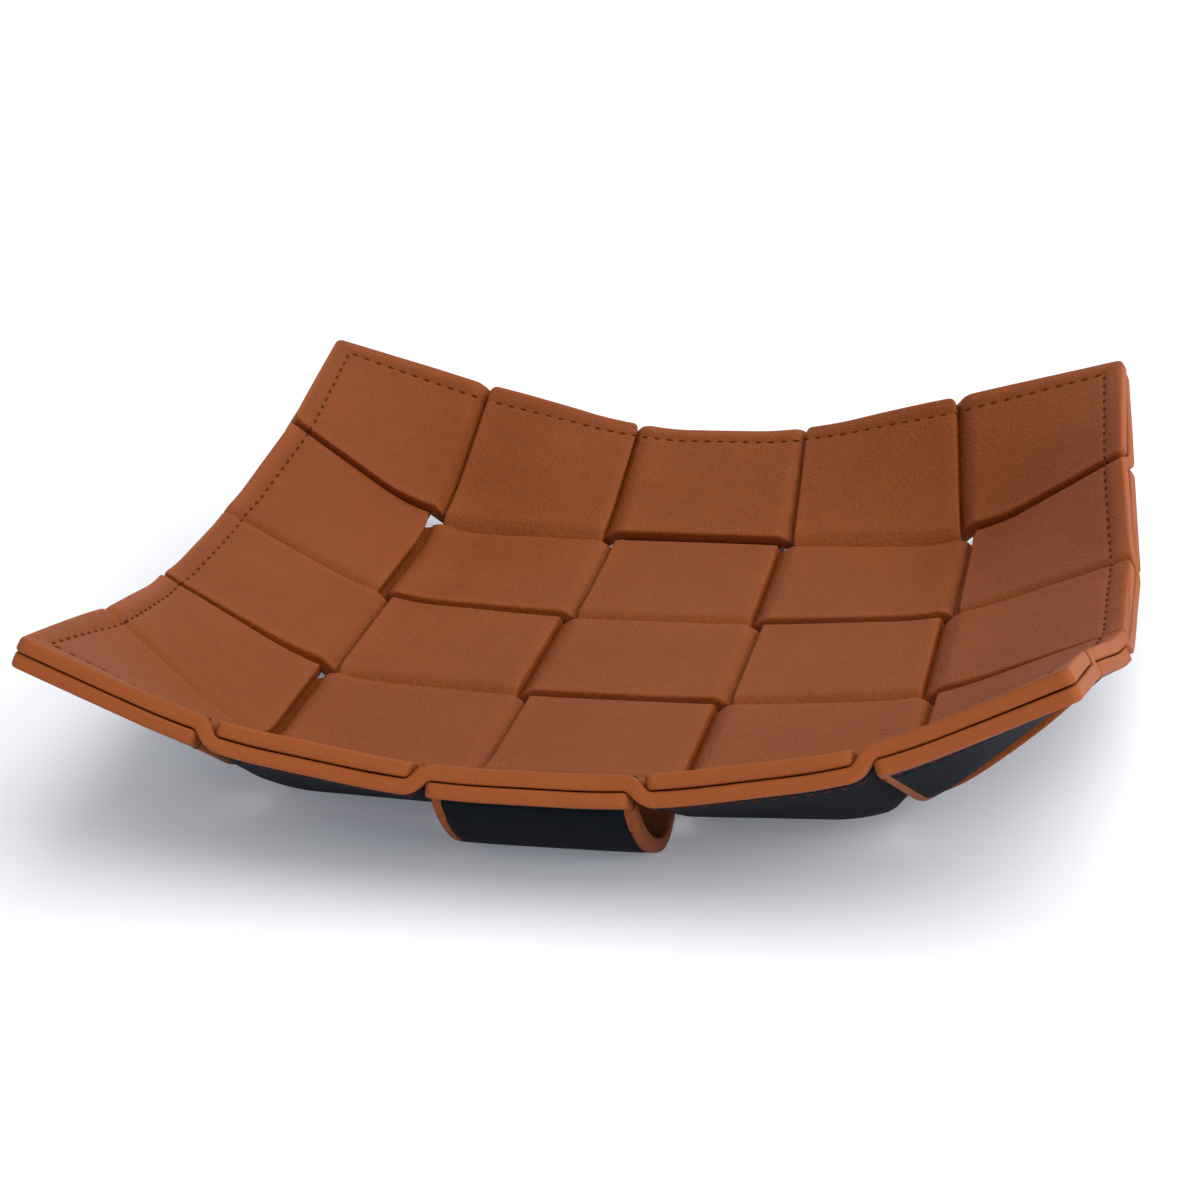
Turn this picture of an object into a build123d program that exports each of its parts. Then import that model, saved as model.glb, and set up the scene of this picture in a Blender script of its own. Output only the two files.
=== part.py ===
"""Woven leather valet tray: ten lined straps in a plain weave, sewn together round the rim.

Millimetres, +Z up. X runs along the rows and Y along the columns, with the front at -Y. The origin
is the middle of the underside, where the lowest strap lies flat on the table.
"""
import math
import os

from build123d import *

# A strap, through its thickness and across its width, which narrows a little towards the rim
strap_width = 47.7
end_width = 46.0
leather_thickness = 1.1
board_thickness = 1.5
lining_thickness = 0.9
glue_line = 0.05
edge_wall = 2.4
layer_clearance = 0.25

# The ends of a strap, where the leather is folded over the board and rounded
end_wall = 2.8
end_round_length = 1.8
end_round_inset = 1.8
end_length_shares = [0, 0.33, 1]
end_inset_shares = [1, 0.33, 0]
end_thickness_shares = [0.33, 0.8, 1]

# The gaps between neighbouring straps, inside the bowl and along the rim, and what is left
# beyond a strap's width from the last inner gap to the rim and at the corners
inner_gap = 4.1
rim_gap = 3.3
reach_gap = 3.3
corner_gap = 1.8

# The net's heights over the flat middle, and how far a corner lifts the rim's lines beside it
side_inner_rise = 5.2
left_rim_rise = 29.4
right_rim_rise = 23.9
front_inner_rise = 3.2
front_rim_rise = 26.3
back_inner_rise = 3.6
back_rim_rise = 22.6
front_left_height = 51.1
front_right_height = 53.4
back_left_height = 49.1
back_right_height = 47.3
side_lift_share = 0.5
front_lift_share = 0.32
back_lift_share = 0.52

# Slack straps that hang away from the one above them, between the seam and the next crossing
front_pocket_depth = 9.0
side_pocket_depth = 3.0
back_pocket_depth = 5.0
pocket_start_angle = 40
pocket_end_angle = 55
pocket_steps = 8

# The seam round the rim
seam_inset = 5.5
seam_land = 6.5
thread_width = 0.8
thread_height = 0.4
thread_clearance = 0.25
mitre_gap = 0.5

straps_each_way = 5
crossing_steps = 2
settling_passes = 3
middle_share = 0.5
# How much of its end tangents a cubic curve shows halfway along
cubic_sag_share = 0.125

strap_thickness = leather_thickness + board_thickness + lining_thickness + 2 * glue_line
edge_radius = strap_thickness / 2
layer_height = (strap_thickness + layer_clearance) / 2
crossing_radius = 2 * layer_height
base_height = layer_height + edge_radius
end_distances = [end_round_length * share for share in end_length_shares] + [end_wall]
first_inner = 1
last = straps_each_way - 1
middle_strap = straps_each_way // 2
pocket_start, pocket_end = math.radians(pocket_start_angle), math.radians(pocket_end_angle)
pocket_pull_share = 1 / (cubic_sag_share * (math.sin(pocket_start) + math.sin(pocket_end)))


def on_rim(number):
    return number in (0, straps_each_way)


def on_side_of(number, distance):
    """The distance with the sign of the half of the tray that a net line lies in."""
    return distance if number > middle_strap else -distance


def inwards(number):
    """The inner net line beside a rim line."""
    return first_inner if number == 0 else last


def plan_run(length, rise):
    """Length in plan of a straight stretch that climbs by rise."""
    return math.sqrt(length**2 - rise**2)


def net_height(i, j):
    """Height of one node of the net: its two lines' rises, or at the rim a share of the corner."""
    line_rise = [left_rim_rise, side_inner_rise, 0, 0, side_inner_rise, right_rim_rise][i]
    row_rise = [front_rim_rise, front_inner_rise, 0, 0, back_inner_rise, back_rim_rise][j]
    on_right, on_back = i > middle_strap, j > middle_strap
    corner = [[front_left_height, back_left_height], [front_right_height, back_right_height]]
    corner_height = corner[on_right][on_back]
    if on_rim(i) and on_rim(j):
        return corner_height
    if on_rim(i) and j in (first_inner, last):
        return line_rise + (corner_height - line_rise) * side_lift_share
    if on_rim(j) and i in (first_inner, last):
        share = back_lift_share if on_back else front_lift_share
        return row_rise + (corner_height - row_rise) * share
    return line_rise + row_rise


def inner_place(number):
    """Plan distance of an inner net line from the middle."""
    return (number - straps_each_way / 2) * (strap_width + inner_gap)


def rim_distance(number, rise):
    """Plan distance of a rim node from the middle, for its rise from the last inner line."""
    place = abs(inner_place(inwards(number))) + plan_run(strap_width + reach_gap, rise)
    return on_side_of(number, place)


def rim_place(number, rise):
    """Plan distance from the middle, along the rim, of the node where an inner line meets it."""
    pitch = end_width + rim_gap
    place = pitch / 2
    if number in (first_inner, last):
        place += plan_run(pitch, rise)
    return on_side_of(number, place)


def corner_node(i, j):
    """The corner that lies one rim length from both of the rim nodes beside it."""
    height, side = net_height(i, j), end_width + corner_gap
    one, other = net_node(inwards(i), j), net_node(i, inwards(j))
    from_one, from_other = plan_run(side, height - one.Z), plan_run(side, height - other.Z)
    between = Vector(other.X - one.X, other.Y - one.Y, 0)
    along = (from_one**2 - from_other**2 + between.length**2) / (2 * between.length)
    out = Vector(0, 0, 1).cross(between).normalized() * plan_run(from_one, along)
    if out.dot(one) < 0:
        out = out * -1
    return Vector(one.X, one.Y, height) + between.normalized() * along + out


def net_node(i, j):
    """Where net line i, counted along X, crosses net line j, counted along Y."""
    height = net_height(i, j)
    if on_rim(i) and on_rim(j):
        return corner_node(i, j)
    if on_rim(i):
        out = rim_distance(i, height - net_height(inwards(i), j))
        middle = middle_strap + 1 if j > middle_strap else middle_strap
        return Vector(out, rim_place(j, height - net_height(i, middle)), height)
    if on_rim(j):
        out = rim_distance(j, height - net_height(i, inwards(j)))
        middle = middle_strap + 1 if i > middle_strap else middle_strap
        return Vector(rim_place(i, height - net_height(middle, j)), out, height)
    return Vector(inner_place(i), inner_place(j), height)


net = [[net_node(i, j) for j in range(straps_each_way + 1)] for i in range(straps_each_way + 1)]


def tile_point(i, j, a, b):
    """A point of tile (i, j), its normal, and the tile's spans along X and along Y there."""
    near = net[i][j] * (1 - a) + net[i + 1][j] * a
    far = net[i][j + 1] * (1 - a) + net[i + 1][j + 1] * a
    left = net[i][j] * (1 - b) + net[i][j + 1] * b
    right = net[i + 1][j] * (1 - b) + net[i + 1][j + 1] * b
    point = near * (1 - b) + far * b
    across, along = right - left, far - near
    return point, across.cross(along).normalized(), across.length, along.length


def lane_point(is_column, lane, cell, across, along):
    """The same for a strap's own lane: its cell, the share across it and the share along it."""
    if is_column:
        point, normal, width, length = tile_point(lane, cell, across, along)
    else:
        point, normal, length, width = tile_point(cell, lane, along, across)
    return point, normal, width, length


def width_at(cell, along):
    """A strap's width at a share along one of its cells."""
    outwards = {0: 1 - along, last: along}.get(cell, 0)
    return strap_width - (strap_width - end_width) * outwards


def edge_share(lane, high_side, pitch, width):
    """Where a strap's edge lies across its lane: at the rim outside, else centred on the lane."""
    strap_share = width / pitch
    if lane == 0:
        return strap_share if high_side else 0
    if lane == last:
        return 1 if high_side else 1 - strap_share
    return (1 + strap_share) / 2 if high_side else (1 - strap_share) / 2


def edge_point(is_column, lane, cell, high_side, place):
    """The point of a strap's edge line.

    The share along the cell is place(pitch along, width of the strap that crosses there).
    """
    across, along = (1 if high_side else 0), 0
    for _ in range(settling_passes):
        _, _, pitch, length = lane_point(is_column, lane, cell, across, along)
        crossing_width = width_at(lane, across)
        across = edge_share(lane, high_side, pitch, width_at(cell, along))
        along = place(length, crossing_width)
    point, normal, _, _ = lane_point(is_column, lane, cell, across, along)
    return point, normal


def cell_start(cell, length, width):
    """Share along a cell where the strap of that width across it ends its rounded edge."""
    return 0 if cell == 0 else edge_share(cell, False, length, width) + edge_radius / length


def cell_end(cell, length, width):
    """The same where the rounded edge on the cell's far side starts."""
    return 1 if cell == last else edge_share(cell, True, length, width) - edge_radius / length


def upright(way, normal):
    """The direction nearest the normal that is square to the way."""
    return (normal - way * normal.dot(way)).normalized()


def turn(centre, start, end, level):
    """Stations round one edge of the crossing strap, from direction start to direction end."""
    rail = []
    for step in range(crossing_steps + 1):
        share = step / crossing_steps
        direction = (start * (1 - share) + end * share).normalized()
        rail.append((centre + direction * crossing_radius, direction * level))
    return rail


def crossing(leave, arrive, level):
    """Stations of an edge line from the face of one layer to the other, between two straps."""
    (start, start_normal), (end, end_normal) = leave, arrive
    first = start - start_normal * (level * layer_height)
    second = end + end_normal * (level * layer_height)
    ahead = (second - first).normalized()
    upward = upright(ahead, (start_normal + end_normal) * level)
    slope = math.asin(min(1, 2 * crossing_radius / (second - first).length))
    tangent = upward * math.cos(slope) + ahead * math.sin(slope)
    rail = turn(first, start_normal * level, tangent, level)
    rail += turn(second, tangent * -1, end_normal * -level, -level)
    return rail


def pocket(start, start_way, end, end_way, depth):
    """Stations of a slack edge line, a cubic curve that hangs by depth between two points."""
    pull = depth * pocket_pull_share
    rail = []
    for step in range(1, pocket_steps):
        s = step / pocket_steps
        point = start * (2 * s**3 - 3 * s**2 + 1) + end * (3 * s**2 - 2 * s**3)
        point += start_way * (pull * (s**3 - 2 * s**2 + s)) + end_way * (pull * (s**3 - s**2))
        way = (end - start) * (6 * s - 6 * s**2)
        way += start_way * (pull * (3 * s**2 - 4 * s + 1)) + end_way * (pull * (3 * s**2 - 2 * s))
        rail.append((point, way.normalized()))
    return rail


def slack(is_column, lane, cell):
    """How deep a strap hangs in one cell, zero where it lies against the one above."""
    if is_column and lane == middle_strap:
        return {0: front_pocket_depth, last: back_pocket_depth}.get(cell, 0)
    if not is_column and lane % 2 == 1:
        return {0: side_pocket_depth, last: side_pocket_depth}.get(cell, 0)
    return 0


def slack_rail(is_column, lane, high_side, at_start):
    """The slack part of an edge line, from the seam's land to the next strap's edge."""
    cell, beside = (0, first_inner) if at_start else (last, last - 1)

    def at(number, from_rim):
        return edge_point(is_column, lane, number, high_side, lambda *spans: from_rim(*spans)
                          if at_start else 1 - from_rim(*spans))

    rim, _ = at(cell, lambda length, width: 0)
    land, normal = at(cell, lambda length, width: seam_land / length)
    edge, edge_normal = at(beside, lambda *spans: cell_start(first_inner, *spans))
    further, _ = at(beside, lambda length, width: middle_share)
    inward = (further - edge).normalized()
    leave = (land - rim).normalized() * math.cos(pocket_start) - normal * math.sin(pocket_start)
    arrive = inward * math.cos(pocket_end) + edge_normal * math.sin(pocket_end)
    facing = edge_normal * math.cos(pocket_end) - inward * math.sin(pocket_end)
    start = land - normal * layer_height
    around = turn(edge - edge_normal * layer_height, facing, edge_normal, 1)
    hung = pocket(start, leave, around[0][0], arrive, slack(is_column, lane, cell))
    rail = [(start, normal)] + [(point, upright(way, normal)) for point, way in hung] + around
    return rail if at_start else rail[::-1]


def edge_rail(is_column, lane, high_side):
    """All stations of one edge line of a strap: (point on its middle surface, up direction)."""
    def at(cell, place):
        return edge_point(is_column, lane, cell, high_side, place)

    def on_layer(spot, level):
        return spot[0] + spot[1] * (level * layer_height), spot[1]

    level = -1 if is_column == (lane % 2 == 0) else 1
    rail = [on_layer(at(0, lambda length, width: end / length), level) for end in end_distances]
    for cell in range(last):
        if cell == 0 and slack(is_column, lane, 0) > 0:
            rail += slack_rail(is_column, lane, high_side, True)
        elif cell == last - 1 and slack(is_column, lane, last) > 0:
            rail += slack_rail(is_column, lane, high_side, False)
        else:
            leave = at(cell, lambda *spans: cell_end(cell, *spans))
            arrive = at(cell + 1, lambda *spans: cell_start(cell + 1, *spans))
            rail += crossing(leave, arrive, level)
        level = -level
    rail += [on_layer(at(last, lambda length, width: 1 - end / length), level)
             for end in reversed(end_distances)]
    return rail


class Station:
    """One cross-section of a strap: its plane, its width and its thickness."""

    def __init__(self, plane, width, thickness):
        self.plane, self.width, self.thickness = plane, width, thickness

    def moved_towards(self, other, distance):
        way = (other.plane.origin - self.plane.origin).normalized()
        plane = Plane(self.plane.origin + way * distance, x_dir=self.plane.x_dir,
                      z_dir=self.plane.z_dir)
        return Station(plane, self.width, self.thickness)


def stations_of(is_column, lane):
    """A strap's sections from end to end, each between its low edge line and its high one."""
    stations = []
    rails = list(zip(edge_rail(is_column, lane, False), edge_rail(is_column, lane, True)))
    for number, ((low, low_up), (high, high_up)) in enumerate(rails):
        rank = min(number, len(rails) - 1 - number, len(end_inset_shares) - 1)
        across = high - low
        up = upright(across.normalized(), low_up + high_up)
        plane = Plane((low + high) / 2, x_dir=across, z_dir=across.cross(up))
        width = across.length - 2 * end_round_inset * end_inset_shares[rank]
        stations.append(Station(plane, width, strap_thickness * end_thickness_shares[rank]))
    return stations


def solid_profile(station):
    """The full outline of a strap, with half-round edges."""
    with BuildSketch(station.plane) as section:
        SlotOverall(station.width, station.thickness)
    return section.sketch


def skin_profile(station):
    """The leather folded round the board, open below where the lining goes."""
    half = station.width / 2
    flat = half - edge_radius
    recess = half - edge_wall
    roof = edge_radius - leather_thickness
    with BuildSketch(station.plane) as section:
        with BuildLine():
            Polyline((-flat, -edge_radius), (-recess, -edge_radius), (-recess, roof),
                     (recess, roof), (recess, -edge_radius), (flat, -edge_radius))
            ThreePointArc((flat, -edge_radius), (half, 0), (flat, edge_radius))
            Line((flat, edge_radius), (-flat, edge_radius))
            ThreePointArc((-flat, edge_radius), (-half, 0), (-flat, -edge_radius))
        make_face()
    return section.sketch


def filling_profile(station, bottom, height):
    """A flat layer that lies in the recess of the leather."""
    width = station.width - 2 * (edge_wall + glue_line)
    with BuildSketch(station.plane) as section:
        with Locations((0, bottom + height / 2)):
            Rectangle(width, height)
    return section.sketch


def board_profile(station):
    return filling_profile(station, lining_thickness + glue_line - edge_radius, board_thickness)


def lining_profile(station):
    return filling_profile(station, -edge_radius, lining_thickness)


def loft_through(stations, profile):
    loft([profile(station) for station in stations], ruled=True)


def write(part, label):
    part.label = label
    export_step(part.moved(Location((0, 0, base_height))), f"parts/{label}.step")


def make_strap(is_column, lane):
    """One strap's leather skin, and the board and the lining that fill it between its ends."""
    name = f"{'column' if is_column else 'row'}_{lane + 1}"
    stations = stations_of(is_column, lane)
    wall = len(end_distances) - 1
    with BuildPart() as skin:
        loft_through(stations[:wall + 1], solid_profile)
        loft_through(stations[wall:-wall], skin_profile)
        loft_through(stations[-wall - 1:], solid_profile)
    write(skin.part, f"{name}_leather")
    body = stations[wall:-wall]
    inner = [body[0].moved_towards(body[1], glue_line)] + body[1:-1]
    inner.append(body[-1].moved_towards(body[-2], glue_line))
    with BuildPart() as board:
        loft_through(inner, board_profile)
    write(board.part, f"{name}_board")
    with BuildPart() as lining:
        loft_through(inner, lining_profile)
    write(lining.part, f"{name}_lining")


def seam_rail(along_x, far, on_top):
    """Points and normals of one run of thread, beside one side of the rim."""
    height = base_height + thread_clearance + thread_height / 2
    rim_cell = last if far else 0

    def spot(cell, place):
        share = middle_share
        for _ in range(settling_passes):
            if along_x:
                point, normal, length, depth = tile_point(cell, rim_cell, place, share)
            else:
                point, normal, depth, length = tile_point(rim_cell, cell, share, place)
            share = 1 - seam_inset / depth if far else seam_inset / depth
        return point + normal * (height if on_top else -height), normal, length

    rail = []
    corner = seam_inset if along_x else seam_inset + thread_width / 2 + mitre_gap
    for cell in range(straps_each_way):
        length = spot(cell, middle_share)[2]
        start = corner / length if cell == 0 else cell_start(cell, length, end_width)
        end = 1 - corner / length if cell == last else cell_end(cell, length, end_width)
        rail += [spot(cell, start)[:2], spot(cell, end)[:2]]
    return rail


def make_thread(name, along_x, far, on_top):
    """One run of thread, on top of the rim or under it."""
    rail = seam_rail(along_x, far, on_top)
    points = [point for point, _ in rail]
    sections = []
    for number, (point, normal) in enumerate(rail):
        way = points[min(number + 1, len(rail) - 1)] - points[max(number - 1, 0)]
        side = normal.cross(way).normalized()
        with BuildSketch(Plane(point, x_dir=side, z_dir=way)) as section:
            Rectangle(thread_width, thread_height)
        sections.append(section.sketch)
    with BuildPart() as thread:
        loft(sections, ruled=True)
    write(thread.part, name)


os.makedirs("parts", exist_ok=True)
for lane in range(straps_each_way):
    make_strap(True, lane)
    make_strap(False, lane)
for side, along_x, far in (("front", True, False), ("back", True, True),
                           ("left", False, False), ("right", False, True)):
    make_thread(f"needle_thread_{side}", along_x, far, True)
    make_thread(f"bobbin_thread_{side}", along_x, far, False)
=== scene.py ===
import math

import bpy
from mathutils import Matrix, Vector, noise
from mathutils.bvhtree import BVHTree


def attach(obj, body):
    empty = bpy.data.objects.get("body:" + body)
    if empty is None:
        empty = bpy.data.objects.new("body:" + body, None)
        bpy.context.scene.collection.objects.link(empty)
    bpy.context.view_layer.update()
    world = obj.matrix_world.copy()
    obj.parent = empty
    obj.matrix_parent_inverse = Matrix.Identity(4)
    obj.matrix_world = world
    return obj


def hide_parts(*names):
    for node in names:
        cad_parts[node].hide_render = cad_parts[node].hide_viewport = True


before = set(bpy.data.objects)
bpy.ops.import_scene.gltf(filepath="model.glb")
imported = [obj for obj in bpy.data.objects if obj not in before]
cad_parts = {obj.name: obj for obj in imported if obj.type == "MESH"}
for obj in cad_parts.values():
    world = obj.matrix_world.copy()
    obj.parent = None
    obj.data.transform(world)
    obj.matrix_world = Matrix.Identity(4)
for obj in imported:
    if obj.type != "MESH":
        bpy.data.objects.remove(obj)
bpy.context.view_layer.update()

metres = 0.001

# A strap, through its thickness and across its width, which narrows a little towards the rim
strap_width = 47.7
end_width = 46.0
leather_thickness = 1.1
board_thickness = 1.5
lining_thickness = 0.9
glue_line = 0.05
edge_wall = 2.4
layer_clearance = 0.25
end_wall = 2.8

# The gaps between neighbouring straps, inside the bowl and along the rim, and what is left
# beyond a strap's width from the last inner gap to the rim and at the corners
inner_gap = 4.1
rim_gap = 3.3
reach_gap = 3.3
corner_gap = 1.8

# The net's heights over the flat middle, and how far a corner lifts the rim's lines beside it
side_inner_rise = 5.2
left_rim_rise = 29.4
right_rim_rise = 23.9
front_inner_rise = 3.2
front_rim_rise = 26.3
back_inner_rise = 3.6
back_rim_rise = 22.6
front_left_height = 51.1
front_right_height = 53.4
back_left_height = 49.1
back_right_height = 47.3
side_lift_share = 0.5
front_lift_share = 0.32
back_lift_share = 0.52

# Slack straps that hang away from the one above them, between the seam and the next crossing
front_pocket_depth = 9.0
side_pocket_depth = 3.0
back_pocket_depth = 5.0
pocket_start_angle = 40
pocket_end_angle = 55
pocket_steps = 24

# The seam round the rim, its stitches and the relief that they pull into the leather
seam_inset = 5.5
seam_land = 6.5
stitch_pitch = 3.8
stitch_share = 0.6
stitch_radius = 0.38
stitch_rise = 0.04
stitch_sink = 0.45
stitch_sides = 7
stitch_rings = 6
stitch_taper = 0.28
stitch_unevenness = 0.12
probe_reach = 7.0
groove_depth = 0.38
groove_width = 0.75
border_rise = 0.12
border_middle = 2.8
border_width = 1.7

# The rounded edges and ends, and how evenly the leather lies
edge_power = 4.6
edge_steps = 9
end_steps = 8
corner_radius = 2.2
crown_rise = 0.3
swell_rise = 0.22
swell_length = 32.0
ripple_rise = 0.05
ripple_length = 9.0
edge_wander = 0.14
edge_wander_length = 22.0
lining_bevel = 0.15
sharp_angle = 50

# How the relief fades where a strap passes below another, and where its noises start
face_gain = 1.5
face_offset = 0.5
relief_power = 3
strap_seed_steps = (17.3, 41.7)
strap_seed = 5.1
side_seed_step = 9.7

# How much of the folded edge's brighter colour shows, which is partly the edge's own tone and
# partly a painted highlight that shows in full on the lit faces of the rim: on an edge inside the
# bowl, on the face beside an edge, where the colour starts to fade towards the face, how fast, and
# on the margin below
inner_edge_share = 0.3
beside_edge_share = 0.4
fade_start = 0.55
fade_slope = 1.3
margin_share = 0.3
inset_share = 0.95

# The leather's grain: how coarse its warp and its fine noise are beside its cells, how far the
# warp shifts them, and how high the fine noise stands
grain_warp_share = 0.6
grain_warp = 0.6
fine_grain_share = 2.3
fine_grain_height = 0.6

# The tan leather's finish: the scale, detail and roughness of its noises, the cells of its grain
# in a metre, the colours of its face and what the mottling multiplies them by, the brighter colour
# of its folded edge and how much of it shows, which is partly the edge's own tone and partly a
# painted highlight on the lit rim, how rough it is, the light it mirrors, and the height in metres
# and the strength of its bumps
ramp_places = (0.3, 0.7)
cloud_noise = (38, 4, 0.55)
mottle_noise = (260, 5, 0.6)
wrinkle_noise = (310, 3, 0.5)
grain_cells = 1150
face_places = (0.25, 0.75)
face_dark = (0.204, 0.0465, 0.0078)
face_light = (0.238, 0.0565, 0.0104)
mottle_dark = (0.93, 0.92, 0.91)
mottle_light = (1.06, 1.06, 1.06)
edge_colour_and_painted_light = (0.405, 0.103, 0.0285)
edge_colour_and_light_share = 0.63
edge_smoothness = 0.65
least_roughness = 0.46
mottle_roughness = 0.14
edge_roughness = 0.08
leather_specular = 0.13
wrinkle_bump = (0.0004, 0.16)
grain_bump = (0.00027, 1.0)

# How finely the meshes follow the straps
crossing_steps = 8
fine_step = 0.5
fine_reach = 8.0
along_step = 1.5
across_step = 2.2
least_step = 0.12
hidden_steps = 8

# How far to both sides of a net line the straps bend, and how often the net is set for it
fold_reach = 16.0
fold_passes = 8

straps_each_way = 5
settling_passes = 3
middle_share = 0.5
# How much of its end tangents a cubic curve shows halfway along
cubic_sag_share = 0.125

# The floor's half width, its depth below the straps and its finish, the tone of the light that
# comes from all round, and the white that the camera sees instead
floor_half = 6000.0
floor_depth = 0.1
floor_tone = (0.96, 0.965, 0.975)
floor_glow = (0.86, 0.90, 1.06)
floor_glow_strength = 0.15
floor_roughness = 0.95
floor_specular = 0.1
sky_tone = (0.52, 0.53, 0.55)
white = (1.0, 1.0, 1.0)

# The camera: where it looks from, in the photo's frame
camera_azimuth = math.radians(13.50)
camera_elevation = math.radians(22.05)
camera_roll = math.radians(-2.95)
camera_distance = 706.6
camera_right = 11.44
camera_up = -18.17
lens_share = 2.2509
sensor_size = 36.0

strap_thickness = leather_thickness + board_thickness + lining_thickness + 2 * glue_line
edge_radius = strap_thickness / 2
layer_height = (strap_thickness + layer_clearance) / 2
crossing_radius = 2 * layer_height
base_height = layer_height + edge_radius
first_inner = 1
last = straps_each_way - 1
middle_strap = straps_each_way // 2
pocket_start, pocket_end = math.radians(pocket_start_angle), math.radians(pocket_end_angle)
pocket_pull_share = 1 / (cubic_sag_share * (math.sin(pocket_start) + math.sin(pocket_end)))


def on_rim(number):
    """Whether a net line, counted from the left or the front, lies on the rim."""
    return number in (0, straps_each_way)


def on_side_of(number, distance):
    """The distance with the sign of the half of the tray that a net line lies in."""
    return distance if number > middle_strap else -distance


def inwards(number):
    """The inner net line beside a rim line."""
    return first_inner if number == 0 else last


def plan_run(length, rise):
    """Length in plan of a straight stretch that climbs by rise."""
    return math.sqrt(length**2 - rise**2)


def net_height(i, j):
    """Height of one node of the net: its two lines' rises, or at the rim a share of the corner."""
    line_rise = [left_rim_rise, side_inner_rise, 0, 0, side_inner_rise, right_rim_rise][i]
    row_rise = [front_rim_rise, front_inner_rise, 0, 0, back_inner_rise, back_rim_rise][j]
    on_right, on_back = i > middle_strap, j > middle_strap
    corner = [[front_left_height, back_left_height], [front_right_height, back_right_height]]
    corner_height = corner[on_right][on_back]
    if on_rim(i) and on_rim(j):
        return corner_height
    if on_rim(i) and j in (first_inner, last):
        return line_rise + (corner_height - line_rise) * side_lift_share
    if on_rim(j) and i in (first_inner, last):
        share = back_lift_share if on_back else front_lift_share
        return row_rise + (corner_height - row_rise) * share
    return line_rise + row_rise


def inner_place(number):
    """Plan distance of an inner net line from the middle."""
    return (number - straps_each_way / 2) * (strap_width + inner_gap)


def rim_distance(number, rise):
    """Plan distance of a rim node from the middle, for its rise from the last inner line."""
    place = abs(inner_place(inwards(number))) + plan_run(strap_width + reach_gap, rise)
    return on_side_of(number, place)


def rim_place(number, rise):
    """Plan distance from the middle, along the rim, of the node where an inner line meets it."""
    pitch = end_width + rim_gap
    place = pitch / 2
    if number in (first_inner, last):
        place += plan_run(pitch, rise)
    return on_side_of(number, place)


def corner_node(i, j):
    """The corner that lies one rim length from both of the rim nodes beside it."""
    height, side = net_height(i, j), end_width + corner_gap
    one, other = net_node(inwards(i), j), net_node(i, inwards(j))
    from_one, from_other = plan_run(side, height - one.z), plan_run(side, height - other.z)
    between = Vector((other.x - one.x, other.y - one.y, 0))
    along = (from_one**2 - from_other**2 + between.length**2) / (2 * between.length)
    out = Vector((0, 0, 1)).cross(between).normalized() * plan_run(from_one, along)
    if out.dot(one) < 0:
        out = -out
    return Vector((one.x, one.y, height)) + between.normalized() * along + out


def net_node(i, j):
    """Where net line i, counted along X, crosses net line j, counted along Y."""
    height = net_height(i, j)
    if on_rim(i) and on_rim(j):
        return corner_node(i, j)
    if on_rim(i):
        out = rim_distance(i, height - net_height(inwards(i), j))
        middle = middle_strap + 1 if j > middle_strap else middle_strap
        return Vector((out, rim_place(j, height - net_height(i, middle)), height))
    if on_rim(j):
        out = rim_distance(j, height - net_height(i, inwards(j)))
        middle = middle_strap + 1 if i > middle_strap else middle_strap
        return Vector((rim_place(i, height - net_height(middle, j)), out, height))
    return Vector((inner_place(i), inner_place(j), height))


net = [[net_node(i, j) for j in range(straps_each_way + 1)] for i in range(straps_each_way + 1)]


def along_net_line(line, at):
    """What a net line's nodes say at a place along it, straight between the two beside it."""
    number = 0
    while number < len(line) - 2 and at > line[number + 1][0]:
        number += 1
    (start, *before), (end, *after) = line[number], line[number + 1]
    share = (at - start) / (end - start)
    return [low + (high - low) * share for low, high in zip(before, after)]


def fold_lift(profile, place):
    """How far a profile of the net lies higher at a place where its folds are rounded."""
    lift = 0
    for before, fold, after in zip(profile, profile[1:], profile[2:]):
        distance = abs(place - fold[0])
        if distance < fold_reach:
            slope_before = (fold[1] - before[1]) / (fold[0] - before[0])
            slope_after = (after[1] - fold[1]) / (after[0] - fold[0])
            lift += (slope_after - slope_before) * (fold_reach - distance) ** 2 / (4 * fold_reach)
    return lift


def in_middle(i, j):
    """Whether a node is a corner of the flat middle, which stays where it is."""
    return i in (middle_strap, middle_strap + 1) and j in (middle_strap, middle_strap + 1)


def soft_change(columns, rows, point):
    """How far a net of dropped lines with rounded folds lies above the sharp net at a point."""
    across = [along_net_line(line, point.y) for line in columns]
    along = [along_net_line(line, point.x) for line in rows]
    lift = fold_lift(across, point.x) + fold_lift(along, point.y)
    return lift + along_net_line([(place, drop) for place, _, drop in across], point.x)[0]


def soft_lines():
    """The net's lines along Y and along X, dropped so that their rounded folds pass the nodes."""
    numbers = range(straps_each_way + 1)
    drops = [[0] * len(numbers) for _ in numbers]
    for _ in range(fold_passes):
        columns = [[(net[i][j].y, net[i][j].x, net[i][j].z + drops[i][j], drops[i][j])
                    for j in numbers] for i in numbers]
        rows = [[(net[i][j].x, net[i][j].y, net[i][j].z + drops[i][j]) for i in numbers]
                for j in numbers]
        changes = [[soft_change(columns, rows, net[i][j]) for j in numbers] for i in numbers]
        drops = [[0 if in_middle(i, j) else drops[i][j] - changes[i][j] for j in numbers]
                 for i in numbers]
    return columns, rows


def softened(point):
    """A point moved up or down with the straps, which bend softly and rest on the table."""
    height = point.z + soft_change(soft_columns, soft_rows, point)
    return Vector((point.x, point.y, max(height, -base_height)))


soft_columns, soft_rows = soft_lines()


def tile_point(i, j, a, b):
    """A point of tile (i, j), its normal, and the tile's spans along X and along Y there."""
    near = net[i][j] * (1 - a) + net[i + 1][j] * a
    far = net[i][j + 1] * (1 - a) + net[i + 1][j + 1] * a
    left = net[i][j] * (1 - b) + net[i][j + 1] * b
    right = net[i + 1][j] * (1 - b) + net[i + 1][j + 1] * b
    point = near * (1 - b) + far * b
    across, along = right - left, far - near
    return point, across.cross(along).normalized(), across.length, along.length


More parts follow.
